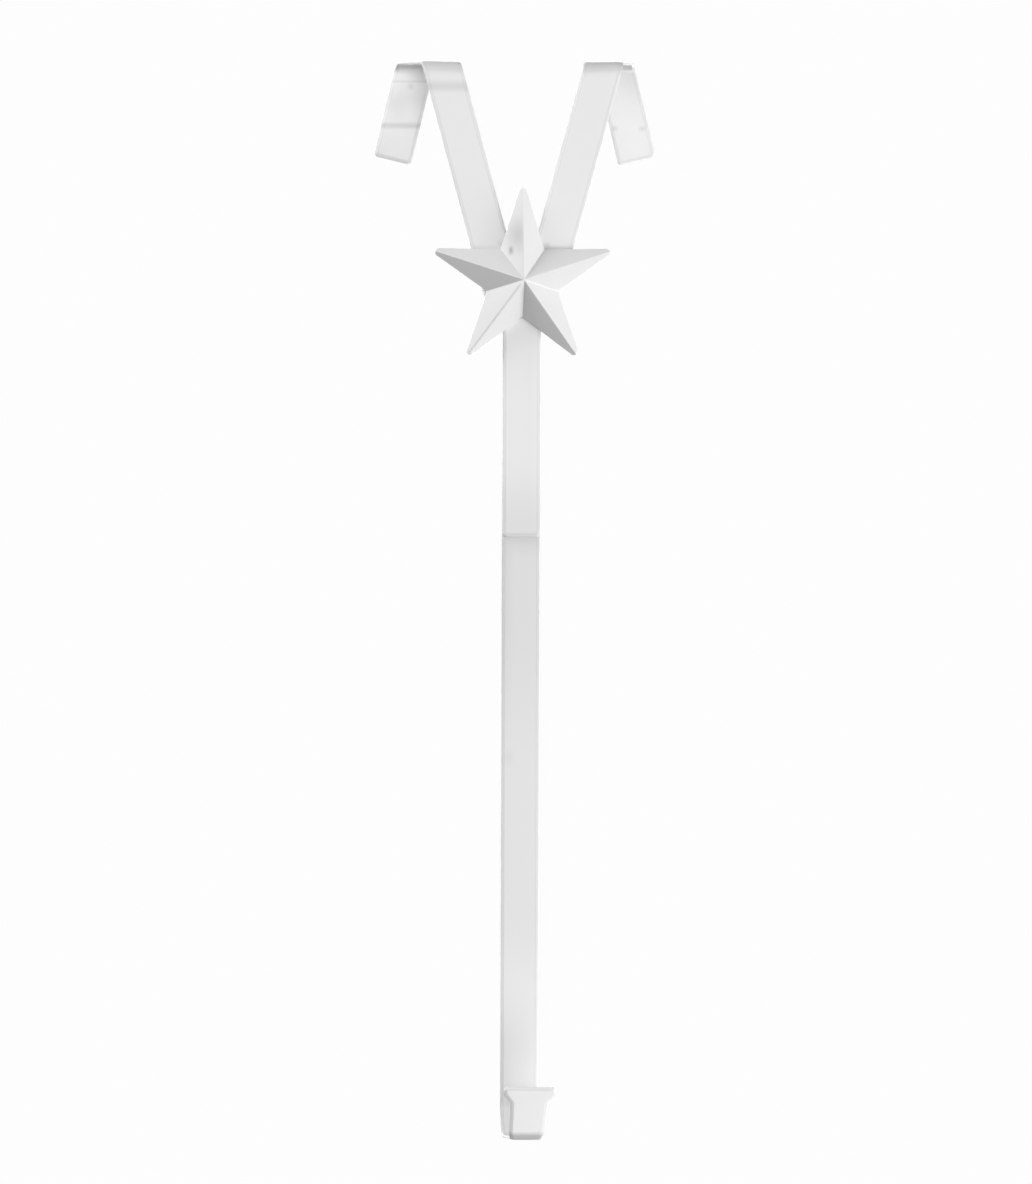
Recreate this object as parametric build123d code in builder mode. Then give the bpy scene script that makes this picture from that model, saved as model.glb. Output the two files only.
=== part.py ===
from build123d import *
import math
import os

# A wreath hanger for the top edge of a door. All sizes are millimetres.
# +Z is up and the front faces -Y. Z = 0 is the top of the door, Y = 0 is the door's front face
# and X = 0 is the middle of the hanger.

# Steel straps
sheet = 2.0  # thickness of both steel pieces
strap_width = 22.5  # stem, lower strap, arms and hooks, measured square to their run

# Y-shaped front of the upper piece
arm_slope = 0.272  # sideways travel of an arm for each millimetre of height
arm_spread = 46.5  # middle of an arm to the middle of the hanger, at the foot of the front bend
shoulder_z = -139.8  # where the arms' outer edges turn in to the stem
neck_z = -157.0  # where the stem reaches its own width
stem_end_z = -278.2

# Hooks over the door
door_gap = 47.0  # door's front face to the inside of the hook's rear bend
front_bend_radius = 5.0  # inside radius
rear_bend_radius = 5.0  # inside radius
rear_bend_angle = 92.0  # a little past square, so the flange grips the door
flange_run = 31.0  # rear bend to the crease
crease_angle = 5.0  # turns the flange's tip away from the door
crease_radius = 3.0  # to the middle of the sheet
tip_run = 20.0  # crease to the flange's end
hook_slope = 0.238  # sideways travel of a hook for each millimetre along the strap
tip_corner = 2.5

# Lower strap with its wreath hook
lap_top_z = -231.7  # upper end of the lower strap, hidden behind the stem
foot_z = -631.6  # underside of the wreath hook
heel_radius = 18.0  # inside radius of the bend at the back of the wreath hook
seat_run = 26.0  # straight seat between the two bends, narrowing to the lip's width
toe_radius = 5.0  # inside radius of the bend under the lip
toe_angle = 75.0  # short of square, so the lip leans forward
lip_width = 20.8
lip_run = 17.3  # end of the bend to the start of the flare
flare_rise = 5.2  # height over which the lip widens
flare_width = 30.6
flare_run = 4.6  # flare's full width to the lip's top edge
flare_corner = 2.6

# Pressed star on the front
star_z = -126.6
star_tip = 59.8  # centre to the point where a tip's two edges would meet
star_waist = 22.0  # centre to a notch
star_rim = 2.0  # depth of the upright rim
star_relief = 11.5  # rim to the raised middle
star_wall = 1.2
star_tip_radius = 2.3

os.makedirs("parts", exist_ok=True)

# A station is a point on the middle of the sheet and the heading of the strap there:
# 0 degrees runs up, 90 towards the back, 180 down and 270 towards the front.


def along(heading):
    angle = math.radians(heading)
    return Vector(0, math.sin(angle), math.cos(angle))


def outward(heading):
    angle = math.radians(heading)
    return Vector(0, -math.cos(angle), math.sin(angle))


def run_on(station, length, slope=0.0):
    """The station a straight run further on."""
    point, heading = station
    return point + along(heading) * length + Vector(slope * length, 0, 0), heading


def turn(station, angle, radius, slope=0.0):
    """The station after a bend. A positive angle bends away from the sheet's outer face."""
    point, heading = station
    reach = math.copysign(radius, angle)
    centre = point - outward(heading) * reach
    drift = slope * radius * math.radians(abs(angle))
    return centre + outward(heading + angle) * reach + Vector(drift, 0, 0), heading + angle


def cross_section(station, width):
    """The strap's section at a station, its width along X."""
    point, heading = station
    with BuildSketch(Plane(origin=point, x_dir=(1, 0, 0), z_dir=along(heading))) as section:
        Rectangle(width, sheet)
    return section.sketch


def bend_sections(station, angle, radius, widths, slope=0.0):
    """Sections at equal steps round a bend, one for each width."""
    steps = len(widths) - 1
    return [
        cross_section(turn(station, angle * i / steps, radius, slope) if i else station, width)
        for i, width in enumerate(widths)
    ]


def inner_face(station):
    """Plane on the sheet's inner face, with X across the strap and Y along it."""
    point, heading = station
    face = outward(heading)
    return Plane(origin=point - face * (sheet / 2), x_dir=(1, 0, 0), z_dir=face)


def slanted_run(station, length, width, slope=0.0, end_slope=0.0):
    """Outline of a straight run. An end slope equal to the slope cuts its end square."""
    half = width / 2
    reach = half / (1 + slope * end_slope)
    shift = slope * length
    with BuildSketch(inner_face(station)) as outline:
        with BuildLine():
            Polyline(
                (-half, 0),
                (half, 0),
                (shift + reach, length - reach * end_slope),
                (shift - reach, length + reach * end_slope),
                close=True,
            )
        make_face()
    return outline.sketch


# Upper piece: one sheet cut to a Y, with each arm folded over the door as a hook.
arm_half = strap_width / 2 * math.sqrt(1 + arm_slope**2)
bend_foot_z = -front_bend_radius
# The arms' inner edges meet at the crotch, and their outer edges reach the shoulders.
crotch_z = bend_foot_z - (arm_spread - arm_half) / arm_slope
shoulder_half = arm_spread + arm_half + arm_slope * (shoulder_z - bend_foot_z)
stem_half = strap_width / 2

with BuildPart() as door_hooks:
    with BuildSketch(Plane.XZ.offset(sheet)) as front:
        with BuildLine():
            Polyline(
                (0, stem_end_z),
                (stem_half, stem_end_z),
                (stem_half, neck_z),
                (shoulder_half, shoulder_z),
                (arm_spread + arm_half, bend_foot_z),
                (arm_spread - arm_half, bend_foot_z),
                (0, crotch_z),
                close=True,
            )
        make_face()
        mirror(about=Plane.YZ)
        corners = front.vertices()
        fillet(corners.filter_by(lambda v: abs(v.Z - shoulder_z) < 0.1), radius=8)
        corners = front.vertices()
        fillet(corners.filter_by(lambda v: abs(v.Z - neck_z) < 0.1), radius=6)
        corners = front.vertices()
        fillet(corners.filter_by(lambda v: abs(v.Z - crotch_z) < 0.1), radius=3)
        corners = front.vertices()
        fillet(corners.filter_by(lambda v: abs(v.Z - stem_end_z) < 0.1), radius=1.5)
    extrude(amount=sheet)

    # The right hook. The strap keeps slanting outwards as it goes over the door.
    hook_half = arm_half
    width = 2 * hook_half
    foot = (Vector(arm_spread, -1.5 * sheet, bend_foot_z), 0.0)
    loft(bend_sections(foot, 90, front_bend_radius + sheet / 2, [width] * 6, hook_slope))
    top_front = turn(foot, 90, front_bend_radius + sheet / 2, hook_slope)
    top_run = door_gap - rear_bend_radius - front_bend_radius + sheet
    extrude(slanted_run(top_front, top_run, width, hook_slope), amount=sheet)
    top_rear = run_on(top_front, top_run, hook_slope)
    rear_radius = rear_bend_radius + sheet / 2
    loft(bend_sections(top_rear, rear_bend_angle, rear_radius, [width] * 6, hook_slope))
    flange_top = turn(top_rear, rear_bend_angle, rear_radius, hook_slope)
    extrude(slanted_run(flange_top, flange_run, width, hook_slope), amount=sheet)
    crease = run_on(flange_top, flange_run, hook_slope)
    loft(bend_sections(crease, -crease_angle, crease_radius, [width] * 3, hook_slope))
    tip = turn(crease, -crease_angle, crease_radius, hook_slope)
    tip_outline = slanted_run(tip, tip_run, width, hook_slope, hook_slope)
    extrude(tip_outline, amount=sheet)
    tip_edges = door_hooks.edges().filter_by(lambda e: abs(e.length - sheet) < 0.01)
    fillet(tip_edges.sort_by(Axis.Z).filter_by(lambda e: e.center().Y > door_gap)[:2], tip_corner)

    # The left hook is the right one's mirror image.
    mirror(about=Plane.YZ)

door_hooks.part.label = "door_hooks"
export_step(door_hooks.part, "parts/door_hooks.step")

# Lower piece: a plain strap, lapped behind the stem and rolled into the wreath hook.
with BuildPart() as hook_strap:
    strap_top = (Vector(0, -sheet / 2, lap_top_z), 180.0)
    straight = lap_top_z - (foot_z + sheet + heel_radius)
    extrude(slanted_run(strap_top, straight, strap_width), amount=sheet)
    heel = run_on(strap_top, straight)
    loft(bend_sections(heel, 90, heel_radius + sheet / 2, [strap_width] * 6))
    seat = turn(heel, 90, heel_radius + sheet / 2)
    toe = run_on(seat, seat_run)
    loft([cross_section(seat, strap_width), cross_section(toe, lip_width)])
    loft(bend_sections(toe, toe_angle, toe_radius + sheet / 2, [lip_width] * 6))
    lip = turn(toe, toe_angle, toe_radius + sheet / 2)
    with BuildSketch(inner_face(lip)) as lip_outline:
        with BuildLine():
            Polyline(
                (0, 0),
                (lip_width / 2, 0),
                (lip_width / 2, lip_run),
                (flare_width / 2, lip_run + flare_rise),
                (flare_width / 2, lip_run + flare_rise + flare_run),
                (0, lip_run + flare_rise + flare_run),
                close=True,
            )
        make_face()
        mirror(about=Plane.YZ)
    extrude(amount=sheet)
    lip_edges = hook_strap.edges().filter_by(lambda e: abs(e.length - sheet) < 0.01)
    tips = lip_edges.filter_by(lambda e: abs(abs(e.center().X) - flare_width / 2) < 0.1)
    fillet(tips, flare_corner / 1.4)

hook_strap.part.label = "hook_strap"
export_step(hook_strap.part, "parts/hook_strap.step")


# Star: pressed from sheet, hollow behind, its upright rim seated on the arms and the stem.
def star_outline():
    """Corner points of the star, a tip straight up."""
    points = []
    for i in range(10):
        angle = math.radians(36 * i)
        radius = star_waist if i % 2 else star_tip
        points.append((radius * math.sin(angle), radius * math.cos(angle)))
    return points


star_plane = Plane(origin=(0, -2 * sheet, star_z), x_dir=(1, 0, 0), z_dir=(0, -1, 0))
edge_distance = (
    star_tip
    * star_waist
    * math.sin(math.radians(36))
    / math.dist((0, star_tip), star_outline()[1])
)
facet_tilt = math.atan2(star_relief, edge_distance)


def folded_star(inset, rim, relief):
    """Solid star: a straight rim under facets that fold from every tip and notch."""
    with BuildPart() as folded:
        with BuildSketch(star_plane):
            with BuildLine():
                Polyline(*star_outline(), close=True)
            make_face()
            if inset:
                offset(amount=-inset, kind=Kind.INTERSECTION)
        extrude(amount=rim)
        base = folded.faces().sort_by(Axis.Y)[0]
        apex = Vertex(0, -2 * sheet - rim - relief, star_z)
        loft([base, apex], ruled=True)
    with BuildPart() as rounded:
        with BuildSketch(star_plane) as outline:
            with BuildLine():
                Polyline(*star_outline(), close=True)
            make_face()
            middle = Vector(0, 0, 0)
            tips = outline.vertices().sort_by_distance(star_plane.origin)[-5:]
            fillet(tips, star_tip_radius)
            if inset:
                offset(amount=-inset, kind=Kind.INTERSECTION)
        extrude(amount=rim + relief + 1)
        add(folded.part, mode=Mode.INTERSECT)
    return rounded.part


with BuildPart() as star:
    add(folded_star(0, star_rim, star_relief))
    # The hollow's facets lie one wall thickness under the outer facets.
    inner_relief = star_relief * (edge_distance - star_wall) / edge_distance
    inner_rim = star_rim - (star_wall - star_wall * math.sin(facet_tilt)) / math.cos(facet_tilt)
    add(folded_star(star_wall, inner_rim, inner_relief), mode=Mode.SUBTRACT)

star.part.label = "star"
export_step(star.part, "parts/star.step")

for piece in (door_hooks, hook_strap, star):
    print(piece.part.label, round(piece.part.volume), piece.part.bounding_box())
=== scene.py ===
# %% [markdown]
# A wreath hanger for the top of a door: white painted steel strap with a raised star.
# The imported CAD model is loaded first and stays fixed. Every piece below is built in the same
# frame, in metres: +Z up, the front towards -Y, Z = 0 at the top of the door and Y = 0 at the
# door's front face.

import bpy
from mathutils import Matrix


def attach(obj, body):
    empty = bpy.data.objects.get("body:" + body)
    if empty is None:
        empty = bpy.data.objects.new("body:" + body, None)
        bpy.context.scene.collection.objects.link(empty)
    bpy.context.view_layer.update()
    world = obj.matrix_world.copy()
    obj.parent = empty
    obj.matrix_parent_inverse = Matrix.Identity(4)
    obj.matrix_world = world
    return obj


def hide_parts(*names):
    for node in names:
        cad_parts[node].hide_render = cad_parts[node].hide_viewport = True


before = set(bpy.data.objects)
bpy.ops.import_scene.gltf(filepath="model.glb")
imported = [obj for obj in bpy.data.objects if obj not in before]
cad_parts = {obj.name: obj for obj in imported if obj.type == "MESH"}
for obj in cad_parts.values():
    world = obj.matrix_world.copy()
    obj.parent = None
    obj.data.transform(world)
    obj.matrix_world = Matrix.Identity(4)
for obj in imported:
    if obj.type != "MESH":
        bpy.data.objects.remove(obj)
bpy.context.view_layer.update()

# %% Blender's own modules
import math

import bmesh
import bpy
from mathutils import Euler, Matrix, Vector

MM = 0.001
SHEET = 2 * MM
SAME_PLACE = 0.01 * MM
print("sheet in mm:", SHEET / MM)

# %% [markdown]
# The view is nearly level and a little to the viewer's left, so the hooks behind show beside the
# arms. From close by, the undersides of the top plates and the inside of the wreath hook would
# open up, so the camera stands twelve metres away with a long lens.

# %% Camera
PHOTO_HEIGHT = 1184
PIXEL = 0.589 * MM
DISTANCE = 12.0
YAW = math.radians(5.2)
ROLL = math.radians(0.2)
AIM_X = -2.6 * MM
AIM_Z = -310.6 * MM
EYE_Z = -138 * MM

sight = Vector((math.sin(YAW), math.cos(YAW), 0))
across = Vector((math.cos(YAW), -math.sin(YAW), 0))
aim = across * AIM_X + Vector((0, 0, AIM_Z))
eye = aim - sight * DISTANCE
eye.z = EYE_Z

camera_data = bpy.data.cameras.new("camera")
camera_data.sensor_width = 36
camera_data.lens = camera_data.sensor_width * DISTANCE / (PHOTO_HEIGHT * PIXEL)
camera_data.clip_start = 0.5
camera_data.clip_end = 60
camera = bpy.data.objects.new("camera", camera_data)
camera.location = eye
camera.rotation_mode = "QUATERNION"
looking = (aim - eye).to_track_quat("-Z", "Y")
camera.rotation_quaternion = looking @ Euler((0, 0, ROLL)).to_quaternion()
bpy.context.scene.collection.objects.link(camera)
bpy.context.scene.camera = camera
bpy.context.scene.view_settings.view_transform = "Standard"
print("lens in mm:", round(camera_data.lens, 1))


# %% [markdown]
# Shader maths reads better as plain expressions than as a web of nodes, so a small class wraps
# one socket and turns each operator into a Math node. Nodes could be added and linked one by one
# instead, but then a single soft mark would take ten lines.

# %% A socket that can be used in expressions
class Field:
    """One output socket. The usual operators on numbers add Math nodes."""

    def __init__(self, tree, socket):
        self.tree = tree
        self.socket = socket

    def node(self, kind, settings=None, values=None, out=0):
        """Adds a node, sets its properties, then its inputs, and returns one output."""
        made = self.tree.nodes.new(kind)
        for name, value in (settings or {}).items():
            setattr(made, name, value)
        for name, value in (values or {}).items():
            if isinstance(value, Field):
                self.tree.links.new(value.socket, made.inputs[name])
            else:
                made.inputs[name].default_value = value
        return Field(self.tree, made.outputs[out])

    def maths(self, operation, *others):
        return self.node("ShaderNodeMath", {"operation": operation}, dict(enumerate((self, *others))))

    def __add__(self, other):
        return self.maths("ADD", other)

    def __sub__(self, other):
        return self.maths("SUBTRACT", other)

    def __mul__(self, other):
        return self.maths("MULTIPLY", other)

    def __rsub__(self, other):
        return (self * -1.0) + other

    __radd__ = __add__
    __rmul__ = __mul__

    def between(self, low, high):
        """0 at low, 1 at high, and a smooth step in between."""
        settings = {"interpolation_type": "SMOOTHSTEP"}
        values = {"Value": self, "From Min": low, "From Max": high}
        return self.node("ShaderNodeMapRange", settings, values)

    def stripe(self, middle, reach):
        """1 at the middle, falling smoothly to 0 at the reach on either side."""
        return (self - middle).maths("ABSOLUTE").between(reach, 0.0)

    def parts(self):
        """The three numbers of a vector."""
        split = self.node("ShaderNodeSeparateXYZ", {}, {"Vector": self})
        return [Field(self.tree, socket) for socket in split.socket.node.outputs]


def start(tree, kind, out):
    """The first node of an expression."""
    return Field(tree, tree.nodes.new(kind).outputs[out])


# %% [markdown]
# There is only white behind the hanger. The world is white to the camera, which gives the plain
# backdrop, and to glossy rays, which gives the bright line that enamel shows where a surface
# turns edge on. To all other rays it is black, so the lamps alone decide the shading.

# %% World
BACKDROP = 0.983
world = bpy.data.worlds.new("studio")
bpy.context.scene.world = world
world.use_nodes = True

camera_ray = start(world.node_tree, "ShaderNodeLightPath", "Is Camera Ray")
glossy_ray = start(world.node_tree, "ShaderNodeLightPath", "Is Glossy Ray")
strength = camera_ray.maths("MAXIMUM", glossy_ray) * BACKDROP
background = world.node_tree.nodes["Background"]
background.inputs["Color"].default_value = (1, 1, 1, 1)
world.node_tree.links.new(strength.socket, background.inputs["Strength"])
print("world: strength", BACKDROP, "to the camera and to reflections")

# %% [markdown]
# The lamps are soft discs, as in a photographer's tent. The strongest stands low on the right and
# two stand high on the left, which rakes light across the front and leaves only surfaces that
# face down and to the left in shade. Three weaker ones in front fill that shade. Three behind
# light the back and the sheet's rims, and reach into the hooks.

# %% Lamps
LAMPS = {
    # name: (place in metres, width in metres, watts)
    "right": ((2.0, -0.75, -0.65), 1.5, 45),
    "upper_left": ((-1.25, -0.6, 1.4), 1.0, 10),
    "left": ((-1.6, -0.35, 0.9), 0.8, 23),
    "front": ((0.5, -3.0, 0.0), 1.5, 10),
    "front_left": ((-0.75, -3.0, 0.35), 1.2, 13),
    "low_front": ((0.5, -1.5, -1.6), 1.0, 12),
    "behind": ((0.0, 2.5, 0.5), 1.5, 14),
    "rim_left": ((-2.0, 0.95, -0.5), 1.0, 28),
    "rim_low": ((1.0, 1.2, -1.8), 1.0, 32),
}
LAMP_TARGET = Vector((0, 0, -0.3))

for name, (place, width, watts) in LAMPS.items():
    data = bpy.data.lights.new(name, "AREA")
    data.shape = "DISK"
    data.size = width
    data.energy = watts
    lamp = bpy.data.objects.new("lamp_" + name, data)
    lamp.location = place
    lamp.rotation_mode = "QUATERNION"
    lamp.rotation_quaternion = (LAMP_TARGET - Vector(place)).to_track_quat("-Z", "Y")
    bpy.context.scene.collection.objects.link(lamp)
    print("lamp", name, watts, "W")

# %% [markdown]
# The hanger is shown in mid air, as it hangs, over a plain pale floor some way below. A really
# white floor would throw light up on every underside. This one is dark to all rays but the
# camera's, for which a soft glow makes it look like pale paper.

# %% Floor
FLOOR_Z = -2.2
FLOOR_RADIUS = 4.0
FLOOR_GREY = 0.78
FLOOR_BOUNCE = 0.05
bm = bmesh.new()
bmesh.ops.create_circle(bm, cap_ends=True, segments=96, radius=FLOOR_RADIUS)
bmesh.ops.translate(bm, verts=bm.verts, vec=(0, 0, FLOOR_Z))
floor_mesh = bpy.data.meshes.new("floor")
bm.to_mesh(floor_mesh)
bm.free()
floor = bpy.data.objects.new("floor", floor_mesh)
bpy.context.scene.collection.objects.link(floor)

floor_paper = bpy.data.materials.new("floor_paper")
floor_paper.use_nodes = True
paper_tree = floor_paper.node_tree
paper_shader = paper_tree.nodes["Principled BSDF"]
paper_glow = start(paper_tree, "ShaderNodeLightPath", "Is Camera Ray") * FLOOR_GREY
paper_tree.links.new(paper_glow.socket, paper_shader.inputs["Emission Color"])
paper_shader.inputs["Emission Strength"].default_value = 1.0
paper_shader.inputs["Base Color"].default_value = (FLOOR_BOUNCE, FLOOR_BOUNCE, FLOOR_BOUNCE, 1)
paper_shader.inputs["Roughness"].default_value = 0.8
paper_shader.inputs["Specular IOR Level"].default_value = 0.2
floor.data.materials.append(floor_paper)
print("floor", -FLOOR_Z, "m below the door's top")


# %% [markdown]
# Each steel piece is bent strap with rolled edges. Its middle surface is made first: an outline,
# then strips pulled from its edges. Two copies of that surface, back to back, are then inset in
# small steps that rise along the rim's section, which gives the sheet its thickness and its
# rolled edges at once. A Solidify and a Bevel modifier could do it too, but this way the step
# where the roll meets the flat face can be remembered, and a fine line of painted shade is laid
# there. No corner may be tighter than the inset is wide, or the inner steps fold over themselves.

# %% From middle surface to rolled sheet
# The rim in section, from the middle surface to the flat face: how far in from the edge in mm,
# and how far out as a share of half the thickness.
RIM_SECTION = [
    (0, 0), (0.03, 0.35), (0.12, 0.55), (0.3, 0.68), (1.1, 0.86), (1.9, 0.97), (2.5, 1.0),
]
# The step of the section along which the enamel gets a fine line of painted shade.
RIM_LINE = (1.9, 0.97)
SHARP_FOLD = math.radians(50)


def thicken(bm, thickness):
    """Turns the middle surface into a closed sheet with rolled edges."""
    line = bm.verts.layers.float.new("rim_line")
    front = list(bm.faces)
    copied = bmesh.ops.duplicate(bm, geom=front)["geom"]
    back = [part for part in copied if isinstance(part, bmesh.types.BMFace)]
    bmesh.ops.reverse_faces(bm, faces=back)
    for side in (front, back):
        for low, high in zip(RIM_SECTION, RIM_SECTION[1:]):
            bmesh.ops.inset_region(
                bm, faces=side, thickness=(high[0] - low[0]) * MM,
                depth=(high[1] - low[1]) * thickness / 2,
                use_boundary=True, use_even_offset=True,
            )
            for vert in {v for face in side for v in face.verts}:
                vert[line] = 1.0 if high == RIM_LINE else 0.0
    bmesh.ops.remove_doubles(bm, verts=bm.verts, dist=SAME_PLACE)


def finish_piece(bm, name, node, material):
    """Makes the object, stands it in for its CAD node and lets it ride on the one body."""
    mesh = bpy.data.meshes.new(name)
    bm.to_mesh(mesh)
    bm.free()
    mesh.shade_smooth()
    mesh.set_sharp_from_angle(angle=SHARP_FOLD)
    mesh.materials.append(material)
    piece = bpy.data.objects.new(name, mesh)
    bpy.context.scene.collection.objects.link(piece)
    weighted = piece.modifiers.new("weighted_normals", "WEIGHTED_NORMAL")
    weighted.keep_sharp = True
    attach(piece, "root")
    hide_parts(node)
    print(name, len(mesh.vertices), "vertices", len(mesh.polygons), "faces")
    return piece


# %% [markdown]
# The finish is white enamel: a glossy coat with the very fine ripple of sprayed paint. One flat
# white would look like plastic, so the base colour is one pale grey, taken down by soft masks:
# painted shade along the rim's step and on facets that face down and to the left, and the marks
# of each piece, which are painted shade with one smudge and one spot.

# %% White enamel, with painted shade
PAINT_GREY = 0.83
# A fine line of painted shade along the rim's step.
RIM_LINE_PAINTED_SHADE = 0.10
# Painted shade on facets that face down and to the left.
LOW_LEFT_PAINTED_SHADE = 0.17
LOW_LEFT = (-0.59, -0.81)
RIPPLE = {"Scale": 900.0, "Detail": 1.0}
RIPPLE_RELIEF = {"Strength": 0.02, "Distance": 0.0001}
CLOUD = {"Scale": 30.0, "Detail": 1.0}
ROUGHNESS = 0.27
ROUGHNESS_SPREAD = 0.03


def white_enamel_with_painted_shade(name, marks):
    """The enamel with painted shade, greyer by the share that marks gives for each place on the
    piece.
    """
    paint = bpy.data.materials.new(name)
    paint.use_nodes = True
    tree = paint.node_tree
    shader = tree.nodes["Principled BSDF"]
    place = start(tree, "ShaderNodeTexCoord", "Object")
    ripple = place.node("ShaderNodeTexNoise", {}, {"Vector": place, **RIPPLE})
    bump = place.node("ShaderNodeBump", {}, {"Height": ripple, **RIPPLE_RELIEF})
    tree.links.new(bump.socket, shader.inputs["Normal"])
    cloud = place.node("ShaderNodeTexNoise", {}, {"Vector": place, **CLOUD})
    roughness = cloud * ROUGHNESS_SPREAD + ROUGHNESS
    tree.links.new(roughness.socket, shader.inputs["Roughness"])
    line = place.node("ShaderNodeAttribute", {"attribute_name": "rim_line"}, out="Fac")
    facing_x, _, facing_z = start(tree, "ShaderNodeNewGeometry", "True Normal").parts()
    # Painted shade: facets facing down and to the left are made greyer.
    underside = (facing_x * LOW_LEFT[0] + facing_z * LOW_LEFT[1]).between(0.38, 0.5)
    # The base colour: pale grey with the painted shade and the marks taken off it.
    grey = 1.0 - line * line * RIM_LINE_PAINTED_SHADE
    grey = grey * (1.0 - marks(*place.parts())) * (1.0 - underside * LOW_LEFT_PAINTED_SHADE)
    tree.links.new((grey * PAINT_GREY).socket, shader.inputs["Base Color"])
    shader.inputs["Coat Weight"].default_value = 0.3
    shader.inputs["Coat Roughness"].default_value = 0.12
    return paint


# %% [markdown]
# The marks are soft bands and touches of painted shade along the folds, at the lap and on the
# star, and one smudge and one spot. They could be painted on a picture, which needs an unwrapped
# surface. Here each is a row of numbers in the piece's own coordinates instead, in millimetres,
# with the share of grey that it takes off, so that a mark can be moved by changing one number.

# %% Three kinds of mark
def bands(z, rows):
    """Level bands. A row is the middle, the reach up and down, the share."""
    return sum(z.stripe(middle * MM, reach * MM) * share for middle, reach, share in rows)


def fades(z, rows):
    """Shade that sets in with height. A row is where it is none, where it is full, the share."""
    return sum(z.between(none * MM, full * MM) * share for none, full, share in rows)


def touches(x, z, rows):
    """Soft spots. A row is the middle and reach across, the middle and reach in height, the share."""
    return sum(
        x.stripe(x_middle * MM, x_reach * MM) * z.stripe(z_middle * MM, z_reach * MM) * share
        for x_middle, x_reach, z_middle, z_reach, share in rows
    )


# %% Painted shade on the upper piece
# Painted shade in the folds, crease and bends and down the stem towards the lap, and painted shadow
# beside the star's notches; one touch on the left flange is a small dark spot.
LEFT_FLANGE_BANDS = [(-35.9, 2.8, 0.22), (-33.0, 6, 0.04), (-20, 13, 0.10), (-9.7, 1.3, 0.12)]
LEFT_FLANGE_TOUCHES = [(-70, 9, -27, 12, 0.06), (-61.9, 3.0, -12.4, 3.2, 0.14)]
RIGHT_FLANGE_TOUCHES = [(59, 3, -37, 2.5, 0.15), (75.6, 3, -37, 2.5, 0.15)]
REAR_BEND_FADES = [(-5.5, -1.5, 0.1)]
LEFT_ARM_BANDS = [(-12.9, 5.0, 0.17)]
RIGHT_TOP_FADES = [(-1, 1.4, 0.08)]
FRONT_FADES = [(-1, 1.4, 0.04), (-8.5, -1, 0.09), (-228, -274, 0.12)]
STAR_SIDE_TOUCHES = [(-11.2, 4.5, -105.9, 4.5, 0.18), (14.2, 3.6, -106.8, 3.2, 0.25)]


def hook_painted_shade(x, y, z):
    """Painted shade: bands along the folds, touches on the flanges and beside the star, a greyer
    stem's end.
    """
    left = x.between(1 * MM, -1 * MM)
    right = 1.0 - left
    flange = y.between(38 * MM, 42 * MM)
    front = 1.0 - flange
    on_flange = left * (bands(z, LEFT_FLANGE_BANDS) + touches(x, z, LEFT_FLANGE_TOUCHES))
    on_flange = on_flange + right * touches(x, z, RIGHT_FLANGE_TOUCHES) + fades(z, REAR_BEND_FADES)
    on_front = left * bands(z, LEFT_ARM_BANDS) + right * fades(z, RIGHT_TOP_FADES)
    on_front = on_front + fades(z, FRONT_FADES) + touches(x, z, STAR_SIDE_TOUCHES)
    return flange * on_flange + front * on_front


# %% Painted shade and a smudge on the lower strap
# Painted shadow just under the lap, and painted shade that fades out down the strap and along its
# left side; the touch is a smudge.
STRAP_FADES = [(-294, -279, 0.04), (-420, -330, 0.065), (-550, -500, 0.065)]
STRAP_LEFT_FADES = [(-430, -290, 0.05)]
STRAP_TOUCHES = [(-7, 5, -408, 7, 0.05)]


def strap_painted_shade_and_smudge(x, y, z):
    """Painted shade, greyer towards the lap and along the left side, and one smudge."""
    left_side = x.between(-3 * MM, -9 * MM) * fades(z, STRAP_LEFT_FADES)
    return fades(z, STRAP_FADES) + left_side + touches(x, z, STRAP_TOUCHES)


# %% Painted shade and a spot on the star
STAR_Z = -126.6 * MM
TO_LOW_LEFT_TIP = (-0.588, -0.809)
# The notch touch is a dark spot; the top touch, the valley and the ridge are painted shade.
NOTCH_TOUCHES = [(-7.2, 2.0, -109.5, 3.8, 0.42)]
TOP_TOUCHES = [(-3.0, 10, -100.5, 15, 0.22)]
VALLEY_TOP_FADES = [(-128, -134, 1.0)]
VALLEY_FOOT_FADES = [(-158, -150, 0.14)]
RIDGE_SHARE = 0.2


def star_painted_shade_and_spot(x, y, z):
    """A spot in one notch; painted shade on a patch left of the top ridge, down a valley and along a
    ridge.
    """
    patch = x.between(0.5 * MM, -1.0 * MM) * touches(x, z, TOP_TOUCHES)
    valley = x.stripe(-0.3 * MM, 2 * MM) * fades(z, VALLEY_TOP_FADES) * fades(z, VALLEY_FOOT_FADES)
    up = z - STAR_Z
    out = x * TO_LOW_LEFT_TIP[0] + up * TO_LOW_LEFT_TIP[1]
    aside = x * TO_LOW_LEFT_TIP[1] - up * TO_LOW_LEFT_TIP[0]
    ridge = aside.stripe(0.0, 1.1 * MM) * out.between(2 * MM, 5 * MM) * RIDGE_SHARE
    return touches(x, z, NOTCH_TOUCHES) + patch + valley + ridge


# %% One enamel for each piece
hook_enamel = white_enamel_with_painted_shade("enamel_hooks", hook_painted_shade)
strap_enamel = white_enamel_with_painted_shade("enamel_strap", strap_painted_shade_and_smudge)
star_enamel = white_enamel_with_painted_shade("enamel_star", star_painted_shade_and_spot)
for enamel in (hook_enamel, strap_enamel, star_enamel):
    print(enamel.name, len(enamel.node_tree.nodes), "nodes")

# %% [markdown]
# The upper piece is one sheet cut to a Y, each arm folded over the door. Its right half is drawn
# on the middle surface, 3 mm in front of the door, and is mirrored at the end, which keeps both
# hooks alike. The arms slope out as they rise, and the hooks go on sloping over the door.

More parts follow.
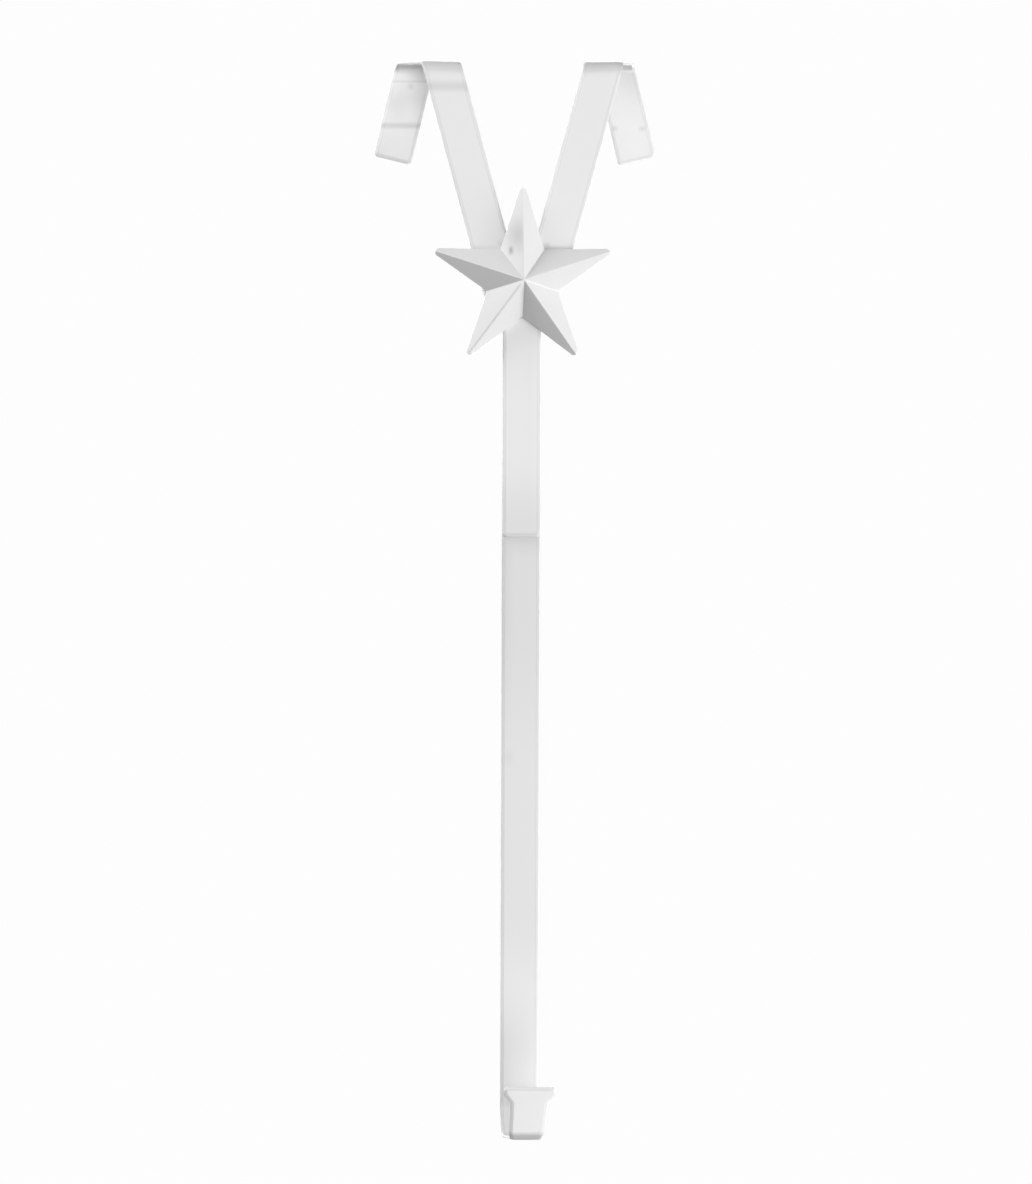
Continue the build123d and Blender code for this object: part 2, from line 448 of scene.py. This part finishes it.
# %% Sizes of the upper piece
STRAP_HALF = 11.25 * MM
ARM_SLOPE = 0.272
ARM_SPREAD = 46.5 * MM
ARM_HALF = STRAP_HALF * math.sqrt(1 + ARM_SLOPE**2)
BEND_FOOT_Z = -5 * MM
CROTCH_Z = BEND_FOOT_Z - (ARM_SPREAD - ARM_HALF) / ARM_SLOPE
SHOULDER_Z = -139.8 * MM
SHOULDER = (ARM_SPREAD + ARM_HALF + ARM_SLOPE * (SHOULDER_Z - BEND_FOOT_Z), SHOULDER_Z)
NECK_Z = -157.0 * MM
STEM_END_Z = -278.2 * MM
MIDDLE_Y = -3 * MM
FRONT_BEND = 6 * MM
REAR_BEND = 6 * MM
REAR_ANGLE = math.radians(92)
BEND_STEPS = 10
TOP_RUN = 39 * MM
FLANGE_RUN = 31 * MM
CREASE = math.radians(5)
CREASE_BEND = 3 * MM
TIP_RUN = 20 * MM
HOOK_SLOPE = 0.238
SHOULDER_RADIUS = 8 * MM
NECK_RADIUS = 6 * MM
CROTCH_RADIUS = 3 * MM
CORNER_RADIUS = 2.7 * MM
print("crotch at", round(CROTCH_Z / MM, 1), "mm, shoulder", round(SHOULDER[0] / MM, 1), "mm out")


# %% [markdown]
# A strap could be a curve with a flat profile, but a curve turns its section in a slanting bend,
# while a folded sheet keeps its fold lines level. Pulling the end edge along keeps them level by
# itself: spin makes a bend and extrude a straight run, and each also drifts outwards.

# %% Helpers that pull a strip along
def spin_edge(bm, edge, centre, angle, drift, steps):
    """Bends the strip from one edge round an axis along X. Returns the new last edge."""
    spun = bmesh.ops.spin(
        bm, geom=[*edge.verts, edge], cent=centre, axis=(1, 0, 0),
        dvec=(drift / steps, 0, 0), angle=angle, steps=steps, use_merge=False,
    )
    return next(part for part in spun["geom_last"] if isinstance(part, bmesh.types.BMEdge))


def pull_edge(bm, edge, move):
    """Extends the strip straight. Returns the new last edge."""
    pulled = bmesh.ops.extrude_edge_only(bm, edges=[edge])["geom"]
    verts = [part for part in pulled if isinstance(part, bmesh.types.BMVert)]
    bmesh.ops.translate(bm, verts=verts, vec=move)
    return next(part for part in pulled if isinstance(part, bmesh.types.BMEdge))


def round_corner(bm, corner, radius):
    """Rounds one corner of a flat outline."""
    edges = [e for e in corner.link_edges if e.is_boundary]
    first, second = [(e.other_vert(corner).co - corner.co).normalized() for e in edges]
    turn = math.pi - first.angle(second)
    bmesh.ops.bevel(
        bm, geom=[corner], offset=radius * math.tan(turn / 2), offset_type="OFFSET",
        affect="VERTICES", segments=8, profile=0.5, material=-1,
    )


def verts_near(bm, point, reach=0.3 * MM):
    return [v for v in bm.verts if (v.co - Vector(point)).length < reach]


# %% Cut the right half of the Y
bm = bmesh.new()
outline = [
    (0, STEM_END_Z),
    (STRAP_HALF, STEM_END_Z),
    (STRAP_HALF, NECK_Z),
    SHOULDER,
    (ARM_SPREAD + ARM_HALF, BEND_FOOT_Z),
    (ARM_SPREAD - ARM_HALF, BEND_FOOT_Z),
    (0, CROTCH_Z),
]
face = bm.faces.new([bm.verts.new((x, MIDDLE_Y, z)) for x, z in outline])
bmesh.ops.recalc_face_normals(bm, faces=[face])
if face.normal.y > 0:
    bmesh.ops.reverse_faces(bm, faces=[face])
top_edge = next(e for e in bm.edges if all(v.co.z > BEND_FOOT_Z - 1 * MM for v in e.verts))
print("arm's top edge in mm:", round(top_edge.calc_length() / MM, 1))

# %% Fold the right arm over the door
front_centre = (0, MIDDLE_Y + FRONT_BEND, BEND_FOOT_Z)
drift = HOOK_SLOPE * FRONT_BEND * math.pi / 2
last = spin_edge(bm, top_edge, front_centre, -math.pi / 2, drift, BEND_STEPS)
last = pull_edge(bm, last, (HOOK_SLOPE * TOP_RUN, TOP_RUN, 0))
rear_centre = (0, last.verts[0].co.y, last.verts[0].co.z - REAR_BEND)
drift = HOOK_SLOPE * REAR_BEND * REAR_ANGLE
last = spin_edge(bm, last, rear_centre, -REAR_ANGLE, drift, BEND_STEPS)
heading = math.pi / 2 + REAR_ANGLE
run = Vector((HOOK_SLOPE, math.sin(heading), math.cos(heading)))
last = pull_edge(bm, last, run * FLANGE_RUN)

# %% Crease the flange and cut its end square to the slope
# The crease is one step. With steps under 0.1 mm, the rim's inset throws a point out of place.
crease_at = last.verts[0].co
outward = Vector((0, -math.cos(heading), math.sin(heading)))
crease_centre = Vector((0, crease_at.y, crease_at.z)) + outward * CREASE_BEND
last = spin_edge(bm, last, crease_centre, CREASE, HOOK_SLOPE * CREASE_BEND * CREASE, 1)
heading -= CREASE
run = Vector((HOOK_SLOPE, math.sin(heading), math.cos(heading)))
last = pull_edge(bm, last, run * TIP_RUN)
square = ARM_HALF * HOOK_SLOPE / (1 + HOOK_SLOPE**2)
tip_middle = (last.verts[0].co + last.verts[1].co) / 2
for corner in last.verts:
    side = 1 if corner.co.x > tip_middle.x else -1
    corner.co -= run * (side * square)
for corner in list(last.verts):
    round_corner(bm, corner, CORNER_RADIUS)
print("middle of the flange's end in mm:", [round(c / MM, 1) for c in tip_middle])

# %% Mirror it, round the corners and give the sheet its thickness
bmesh.ops.mirror(bm, geom=bm.verts[:] + bm.edges[:] + bm.faces[:], axis="X", merge_dist=0)
bmesh.ops.remove_doubles(bm, verts=bm.verts, dist=SAME_PLACE)
centre_edges = [e for e in bm.edges if all(abs(v.co.x) < SAME_PLACE for v in e.verts)]
bmesh.ops.dissolve_edges(bm, edges=centre_edges, use_verts=False)
bmesh.ops.dissolve_verts(bm, verts=verts_near(bm, (0, MIDDLE_Y, STEM_END_Z)))
for side in (-1, 1):
    for (x, z), radius in (
        (SHOULDER, SHOULDER_RADIUS),
        ((STRAP_HALF, NECK_Z), NECK_RADIUS),
        ((STRAP_HALF, STEM_END_Z), CORNER_RADIUS),
    ):
        for corner in verts_near(bm, (side * x, MIDDLE_Y, z)):
            round_corner(bm, corner, radius)
for corner in verts_near(bm, (0, MIDDLE_Y, CROTCH_Z)):
    round_corner(bm, corner, CROTCH_RADIUS)
bmesh.ops.recalc_face_normals(bm, faces=bm.faces)
thicken(bm, SHEET)
door_hooks = finish_piece(bm, "door_hooks_sheet", "door_hooks", hook_enamel)

# %% [markdown]
# The lower piece is a plain strap behind the stem. Its foot comes forward in a wide bend, runs
# level as the wreath's seat while it narrows, and turns up in a tight bend that widens again. The
# lip leans forward and flares at the top, so that a ribbon can't slide off. On the real part it
# stands a little to the right, so its ends are shifted as they are pulled.

# %% Sizes of the lower strap
LAP_TOP_Z = -231.7 * MM
STRAP_Y = -1 * MM
FOOT_Z = -631.6 * MM
HEEL_BEND = 19 * MM
HEEL_STEPS = 16
SEAT_RUN = 26 * MM
TOE_BEND = 6 * MM
TOE_ANGLE = math.radians(75)
TOE_STEPS = 12
TOE_HALF = 8.9 * MM
TOE_SPREAD = 1.3
LIP_HALF = 10.4 * MM
LIP_RUN = 17.3 * MM
LIP_WIDENING = 1.04
LIP_SHIFT = 0.8 * MM
FLARE_HALF = 15.3 * MM
FLARE_RISE = 5.2 * MM
FLARE_RUN = 4.6 * MM
FLARE_SHIFT = 1.2 * MM
HEEL_Z = FOOT_Z + SHEET / 2 + HEEL_BEND
print("straight strap in mm:", round((LAP_TOP_Z - HEEL_Z) / MM, 1))

# %% Bend the lower strap
bm = bmesh.new()
top = [bm.verts.new((side * STRAP_HALF, STRAP_Y, LAP_TOP_Z)) for side in (-1, 1)]
last = bm.edges.new(top)
last = pull_edge(bm, last, (0, 0, HEEL_Z - LAP_TOP_Z))
last = spin_edge(bm, last, (0, STRAP_Y - HEEL_BEND, HEEL_Z), -math.pi / 2, 0, HEEL_STEPS)
last = pull_edge(bm, last, (0, -SEAT_RUN, 0))
bmesh.ops.scale(bm, verts=list(last.verts), vec=(TOE_HALF / STRAP_HALF, 1, 1))
toe_centre = last.verts[0].co + Vector((0, 0, TOE_BEND))
toe_centre.x = 0
for step in range(1, TOE_STEPS + 1):
    last = spin_edge(bm, last, toe_centre, -TOE_ANGLE / TOE_STEPS, 0, 1)
    half = LIP_HALF - (LIP_HALF - TOE_HALF) * (1 - step / TOE_STEPS) ** TOE_SPREAD
    for end in last.verts:
        end.co.x = math.copysign(half, end.co.x)

# %% Raise and flare the lip
lip = Vector((0, -math.cos(TOE_ANGLE), math.sin(TOE_ANGLE)))
last = pull_edge(bm, last, lip * LIP_RUN)
bmesh.ops.scale(bm, verts=list(last.verts), vec=(LIP_WIDENING, 1, 1))
bmesh.ops.translate(bm, verts=list(last.verts), vec=(LIP_SHIFT, 0, 0))
last = pull_edge(bm, last, lip * FLARE_RISE)
for end, side in zip(sorted(last.verts, key=lambda v: v.co.x), (-1, 1)):
    end.co.x = FLARE_SHIFT + side * FLARE_HALF
last = pull_edge(bm, last, lip * FLARE_RUN)
for corner in list(last.verts):
    round_corner(bm, corner, CORNER_RADIUS)
bmesh.ops.recalc_face_normals(bm, faces=bm.faces)
thicken(bm, SHEET)
hook_strap = finish_piece(bm, "hook_strap_sheet", "hook_strap", strap_enamel)

# %% [markdown]
# The star is pressed from thin sheet: ten flat facets that fold along the lines from its tips and
# notches to the raised middle, over a short upright rim. A cone with a star for a base would do
# for its front, but not for the rim and the rounded tips. So a ten-sided circle with every other
# corner drawn in gives the outline, extruding it gives the rim, poking its face gives the folds,
# and a cut across each tip gives the bevel something to round.

# %% Sizes of the star
STAR_TIP = 59.8 * MM
STAR_WAIST = 22.0 * MM
STAR_REACH = 54.2 * MM
STAR_RIM = 2 * MM
STAR_RELIEF = 11.5 * MM
STAR_WALL = 1.2 * MM
STAR_BACK_Y = -4 * MM
TIP_ROUNDING = 1.5 * MM
FOLD_ROUNDING = 0.45 * MM
FLATTEST_FOLD = math.radians(12)
print("star stands out", round((STAR_RIM + STAR_RELIEF) / MM, 1), "mm")

# %% Press the star's folds
bm = bmesh.new()
bmesh.ops.create_circle(bm, cap_ends=True, segments=10, radius=STAR_TIP)
notches = [
    v for v in bm.verts
    if round(math.degrees(math.atan2(v.co.y, v.co.x)) - 54) % 72 == 0
]
bmesh.ops.scale(bm, verts=notches, vec=(STAR_WAIST / STAR_TIP,) * 3)
back_face = bm.faces[:]
raised = bmesh.ops.extrude_face_region(bm, geom=back_face, use_keep_orig=True)["geom"]
raised_face = [part for part in raised if isinstance(part, bmesh.types.BMFace)]
raised_verts = [part for part in raised if isinstance(part, bmesh.types.BMVert)]
bmesh.ops.translate(bm, verts=raised_verts, vec=(0, 0, STAR_RIM))
poked = bmesh.ops.poke(bm, faces=raised_face)
bmesh.ops.translate(bm, verts=poked["verts"], vec=(0, 0, STAR_RELIEF))
print("notches:", len(notches))

# %% Cut and round the tips
for k in range(5):
    angle = math.radians(90 + 72 * k)
    tip_way = Vector((math.cos(angle), math.sin(angle), 0))
    cut = bmesh.ops.bisect_plane(
        bm, geom=bm.verts[:] + bm.edges[:] + bm.faces[:], dist=1e-7,
        plane_co=tip_way * STAR_REACH, plane_no=tip_way, clear_outer=True,
    )
    cut_edges = [part for part in cut["geom_cut"] if isinstance(part, bmesh.types.BMEdge)]
    bmesh.ops.contextual_create(bm, geom=cut_edges)
bmesh.ops.recalc_face_normals(bm, faces=bm.faces)
corner_posts = [
    e for e in bm.edges
    if abs(e.verts[0].co.x - e.verts[1].co.x) < 1e-6
    and abs(e.verts[0].co.y - e.verts[1].co.y) < 1e-6
    and e.verts[0].co.length > 45 * MM
]
bmesh.ops.bevel(
    bm, geom=corner_posts, offset=TIP_ROUNDING, offset_type="OFFSET", affect="EDGES",
    segments=5, profile=0.5, material=-1, clamp_overlap=True,
)
print("tip posts:", len(corner_posts))

# %% Open the back, soften the folds and stand the star up
bmesh.ops.delete(bm, geom=[f for f in bm.faces if f.normal.z < -0.9], context="FACES_ONLY")
folds = [e for e in bm.edges if len(e.link_faces) == 2 and e.calc_face_angle() > FLATTEST_FOLD]
bmesh.ops.bevel(
    bm, geom=folds, offset=FOLD_ROUNDING, offset_type="OFFSET", affect="EDGES",
    segments=3, profile=0.5, material=-1, clamp_overlap=True,
)
bmesh.ops.recalc_face_normals(bm, faces=bm.faces)
upright = Matrix.Rotation(math.pi / 2, 3, "X")
bmesh.ops.rotate(bm, verts=bm.verts, cent=(0, 0, 0), matrix=upright)
bmesh.ops.translate(bm, verts=bm.verts, vec=(0, STAR_BACK_Y, STAR_Z))
star = finish_piece(bm, "star_pressed", "star", star_enamel)
wall = star.modifiers.new("wall", "SOLIDIFY")
wall.thickness = STAR_WALL
wall.offset = -1
